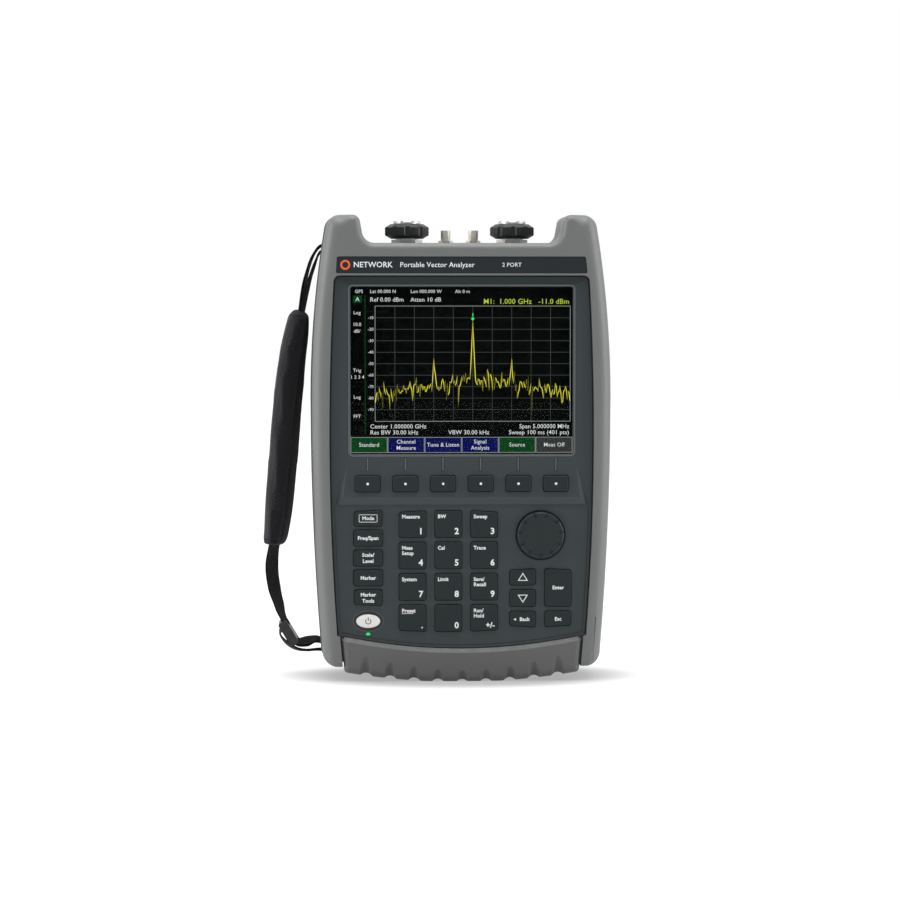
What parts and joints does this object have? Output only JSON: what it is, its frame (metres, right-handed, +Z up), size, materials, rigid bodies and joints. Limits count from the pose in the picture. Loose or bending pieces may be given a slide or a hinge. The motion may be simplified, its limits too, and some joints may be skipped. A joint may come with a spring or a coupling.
{
  "type": "vector network analyzer",
  "caption": "Hand-held network analyzer: grey shell with horned corners, screen, soft keys, keypad, tuning knob, two test ports with hand wheels, side hand strap, doors and a folding stand.",
  "frame": {"origin": "on the ground plane under the middle of the case, at the flat under the rubber bumper", "axes": "+Z up along the case's height, -Y out of the screen, +X to the right seen from the front"},
  "size_m": [0.2158, 0.071, 0.291],
  "materials": {
    "case_plastic": "fine textured grey moulding",
    "seal_rubber": "matt black gasket",
    "screw_steel": "bright steel",
    "panel_plastic": "fine textured dark slate moulding",
    "bumper_rubber": "matt grey rubber",
    "nameplate_gloss": "satin black",
    "cover_glass": "clear cover glass",
    "display_black": "dark display",
    "membrane_rubber": "silicone sheet",
    "metal_can": "pressed steel can",
    "circuit_board": "green solder mask",
    "cast_aluminium": "cast and machined",
    "battery_plastic": "black moulding",
    "anodised_aluminium": "dark anodised",
    "connector_plate": "grey painted plate",
    "port_steel": "passivated stainless steel",
    "wheel_plastic": "black moulding",
    "plated_brass": "plated brass",
    "latch_plastic": "black moulding",
    "socket_black": "black sockets",
    "pad_fabric": "black woven padded fabric",
    "webbing": "black woven webbing",
    "buckle_plastic": "black acetal",
    "key_rubber": "matt dark silicone rubber",
    "power_white": "white silicone rubber"
  },
  "bodies": {
    "housing": {"front_case": "case_plastic", "rear_case": "case_plastic", "case_seal": "seal_rubber", "case_screws": "screw_steel", "front_panel": "panel_plastic", "bottom_bumper": "bumper_rubber", "nameplate": "nameplate_gloss", "display_glass": "cover_glass", "lcd_module": "display_black", "keypad_membrane": "membrane_rubber", "knob_encoder": "metal_can", "main_board": "circuit_board", "rf_module": "cast_aluminium", "battery_pack": "battery_plastic", "heatsink": "anodised_aluminium", "connector_panel": "connector_plate", "rf_ports": "port_steel", "sma_sockets": "plated_brass", "side_sockets": "socket_black", "steel_pins": "screw_steel", "strap_lower_webbing": "webbing", "strap_slider": "buckle_plastic"},
    "softkey_1": {"softkey_1": "key_rubber"},
    "softkey_2": {"softkey_2": "key_rubber"},
    "softkey_3": {"softkey_3": "key_rubber"},
    "softkey_4": {"softkey_4": "key_rubber"},
    "softkey_5": {"softkey_5": "key_rubber"},
    "softkey_6": {"softkey_6": "key_rubber"},
    "key_mode": {"key_mode": "key_rubber"},
    "key_freq": {"key_freq": "key_rubber"},
    "key_scale": {"key_scale": "key_rubber"},
    "key_marker": {"key_marker": "key_rubber"},
    "key_tools": {"key_tools": "key_rubber"},
    "power_key": {"power_key": "power_white"},
    "key_1": {"key_1": "key_rubber"},
    "key_2": {"key_2": "key_rubber"},
    "key_3": {"key_3": "key_rubber"},
    "key_4": {"key_4": "key_rubber"},
    "key_5": {"key_5": "key_rubber"},
    "key_6": {"key_6": "key_rubber"},
    "key_7": {"key_7": "key_rubber"},
    "key_8": {"key_8": "key_rubber"},
    "key_9": {"key_9": "key_rubber"},
    "key_point": {"key_point": "key_rubber"},
    "key_0": {"key_0": "key_rubber"},
    "key_sign": {"key_sign": "key_rubber"},
    "key_up": {"key_up": "key_rubber"},
    "key_down": {"key_down": "key_rubber"},
    "key_enter": {"key_enter": "key_rubber"},
    "key_back": {"key_back": "key_rubber"},
    "key_esc": {"key_esc": "key_rubber"},
    "tuning_knob": {"tuning_knob": "key_rubber"},
    "port_wheel_left": {"port_wheel_left": "wheel_plastic"},
    "port_wheel_right": {"port_wheel_right": "wheel_plastic"},
    "kickstand": {"kickstand": "case_plastic"},
    "io_door": {"io_door": "case_plastic"},
    "battery_door": {"battery_door": "case_plastic"},
    "battery_latch": {"battery_latch": "latch_plastic"},
    "hand_strap": {"strap_pad": "pad_fabric", "strap_upper_webbing": "webbing"}
  },
  "joints": [
    {"name": "softkey_1_press", "type": "slide", "parent": "housing", "child": "softkey_1", "axis": [0, 1, 0], "range_m": [0, 0.001], "stiffness_N_per_m": 300, "springref_m": -0.001},
    {"name": "softkey_2_press", "type": "slide", "parent": "housing", "child": "softkey_2", "axis": [0, 1, 0], "range_m": [0, 0.001], "stiffness_N_per_m": 300, "springref_m": -0.001},
    {"name": "softkey_3_press", "type": "slide", "parent": "housing", "child": "softkey_3", "axis": [0, 1, 0], "range_m": [0, 0.001], "stiffness_N_per_m": 300, "springref_m": -0.001},
    {"name": "softkey_4_press", "type": "slide", "parent": "housing", "child": "softkey_4", "axis": [0, 1, 0], "range_m": [0, 0.001], "stiffness_N_per_m": 300, "springref_m": -0.001},
    {"name": "softkey_5_press", "type": "slide", "parent": "housing", "child": "softkey_5", "axis": [0, 1, 0], "range_m": [0, 0.001], "stiffness_N_per_m": 300, "springref_m": -0.001},
    {"name": "softkey_6_press", "type": "slide", "parent": "housing", "child": "softkey_6", "axis": [0, 1, 0], "range_m": [0, 0.001], "stiffness_N_per_m": 300, "springref_m": -0.001},
    {"name": "key_mode_press", "type": "slide", "parent": "housing", "child": "key_mode", "axis": [0, 1, 0], "range_m": [0, 0.001], "stiffness_N_per_m": 300, "springref_m": -0.001},
    {"name": "key_freq_press", "type": "slide", "parent": "housing", "child": "key_freq", "axis": [0, 1, 0], "range_m": [0, 0.001], "stiffness_N_per_m": 300, "springref_m": -0.001},
    {"name": "key_scale_press", "type": "slide", "parent": "housing", "child": "key_scale", "axis": [0, 1, 0], "range_m": [0, 0.001], "stiffness_N_per_m": 300, "springref_m": -0.001},
    {"name": "key_marker_press", "type": "slide", "parent": "housing", "child": "key_marker", "axis": [0, 1, 0], "range_m": [0, 0.001], "stiffness_N_per_m": 300, "springref_m": -0.001},
    {"name": "key_tools_press", "type": "slide", "parent": "housing", "child": "key_tools", "axis": [0, 1, 0], "range_m": [0, 0.001], "stiffness_N_per_m": 300, "springref_m": -0.001},
    {"name": "power_key_press", "type": "slide", "parent": "housing", "child": "power_key", "axis": [0, 1, 0], "range_m": [0, 0.001], "stiffness_N_per_m": 300, "springref_m": -0.001},
    {"name": "key_1_press", "type": "slide", "parent": "housing", "child": "key_1", "axis": [0, 1, 0], "range_m": [0, 0.001], "stiffness_N_per_m": 300, "springref_m": -0.001},
    {"name": "key_2_press", "type": "slide", "parent": "housing", "child": "key_2", "axis": [0, 1, 0], "range_m": [0, 0.001], "stiffness_N_per_m": 300, "springref_m": -0.001},
    {"name": "key_3_press", "type": "slide", "parent": "housing", "child": "key_3", "axis": [0, 1, 0], "range_m": [0, 0.001], "stiffness_N_per_m": 300, "springref_m": -0.001},
    {"name": "key_4_press", "type": "slide", "parent": "housing", "child": "key_4", "axis": [0, 1, 0], "range_m": [0, 0.001], "stiffness_N_per_m": 300, "springref_m": -0.001},
    {"name": "key_5_press", "type": "slide", "parent": "housing", "child": "key_5", "axis": [0, 1, 0], "range_m": [0, 0.001], "stiffness_N_per_m": 300, "springref_m": -0.001},
    {"name": "key_6_press", "type": "slide", "parent": "housing", "child": "key_6", "axis": [0, 1, 0], "range_m": [0, 0.001], "stiffness_N_per_m": 300, "springref_m": -0.001},
    {"name": "key_7_press", "type": "slide", "parent": "housing", "child": "key_7", "axis": [0, 1, 0], "range_m": [0, 0.001], "stiffness_N_per_m": 300, "springref_m": -0.001},
    {"name": "key_8_press", "type": "slide", "parent": "housing", "child": "key_8", "axis": [0, 1, 0], "range_m": [0, 0.001], "stiffness_N_per_m": 300, "springref_m": -0.001},
    {"name": "key_9_press", "type": "slide", "parent": "housing", "child": "key_9", "axis": [0, 1, 0], "range_m": [0, 0.001], "stiffness_N_per_m": 300, "springref_m": -0.001},
    {"name": "key_point_press", "type": "slide", "parent": "housing", "child": "key_point", "axis": [0, 1, 0], "range_m": [0, 0.001], "stiffness_N_per_m": 300, "springref_m": -0.001},
    {"name": "key_0_press", "type": "slide", "parent": "housing", "child": "key_0", "axis": [0, 1, 0], "range_m": [0, 0.001], "stiffness_N_per_m": 300, "springref_m": -0.001},
    {"name": "key_sign_press", "type": "slide", "parent": "housing", "child": "key_sign", "axis": [0, 1, 0], "range_m": [0, 0.001], "stiffness_N_per_m": 300, "springref_m": -0.001},
    {"name": "key_up_press", "type": "slide", "parent": "housing", "child": "key_up", "axis": [0, 1, 0], "range_m": [0, 0.001], "stiffness_N_per_m": 300, "springref_m": -0.001},
    {"name": "key_down_press", "type": "slide", "parent": "housing", "child": "key_down", "axis": [0, 1, 0], "range_m": [0, 0.001], "stiffness_N_per_m": 300, "springref_m": -0.001},
    {"name": "key_enter_press", "type": "slide", "parent": "housing", "child": "key_enter", "axis": [0, 1, 0], "range_m": [0, 0.001], "stiffness_N_per_m": 300, "springref_m": -0.001},
    {"name": "key_back_press", "type": "slide", "parent": "housing", "child": "key_back", "axis": [0, 1, 0], "range_m": [0, 0.001], "stiffness_N_per_m": 300, "springref_m": -0.001},
    {"name": "key_esc_press", "type": "slide", "parent": "housing", "child": "key_esc", "axis": [0, 1, 0], "range_m": [0, 0.001], "stiffness_N_per_m": 300, "springref_m": -0.001},
    {"name": "knob_turn", "type": "hinge", "parent": "housing", "child": "tuning_knob", "pos_m": [0.0492, -0.03, 0.0912], "axis": [0, -1, 0], "continuous": true},
    {"name": "port_wheel_left_turn", "type": "hinge", "parent": "housing", "child": "port_wheel_left", "pos_m": [-0.0333, 0.005, 0.281], "axis": [0, 0, 1], "continuous": true},
    {"name": "port_wheel_right_turn", "type": "hinge", "parent": "housing", "child": "port_wheel_right", "pos_m": [0.0333, 0.005, 0.281], "axis": [0, 0, 1], "continuous": true},
    {"name": "kickstand_swing", "type": "hinge", "parent": "housing", "child": "kickstand", "pos_m": [0, 0.031, 0.126], "axis": [1, 0, 0], "range_deg": [0, 50]},
    {"name": "io_door_swing", "type": "hinge", "parent": "housing", "child": "io_door", "pos_m": [0.09184, 0.0236, 0.118], "axis": [0.0009, 0, 1], "range_deg": [0, 90]},
    {"name": "battery_door_swing", "type": "hinge", "parent": "housing", "child": "battery_door", "pos_m": [0.08726, 0.0236, 0.03], "axis": [0.0545, 0, 0.9985], "range_deg": [0, 90]},
    {"name": "battery_latch_slide", "type": "slide", "parent": "battery_door", "child": "battery_latch", "axis": [0.0545, 0, 0.9985], "range_m": [0, 0.003], "stiffness_N_per_m": 200, "springref_m": -0.002},
    {"name": "strap_pull", "type": "hinge", "parent": "housing", "child": "hand_strap", "pos_m": [-0.0842, 0.0095, 0.272], "axis": [0, 1, 0], "range_deg": [0, 5], "deforming": ["strap_lower_webbing"]}
  ]
}
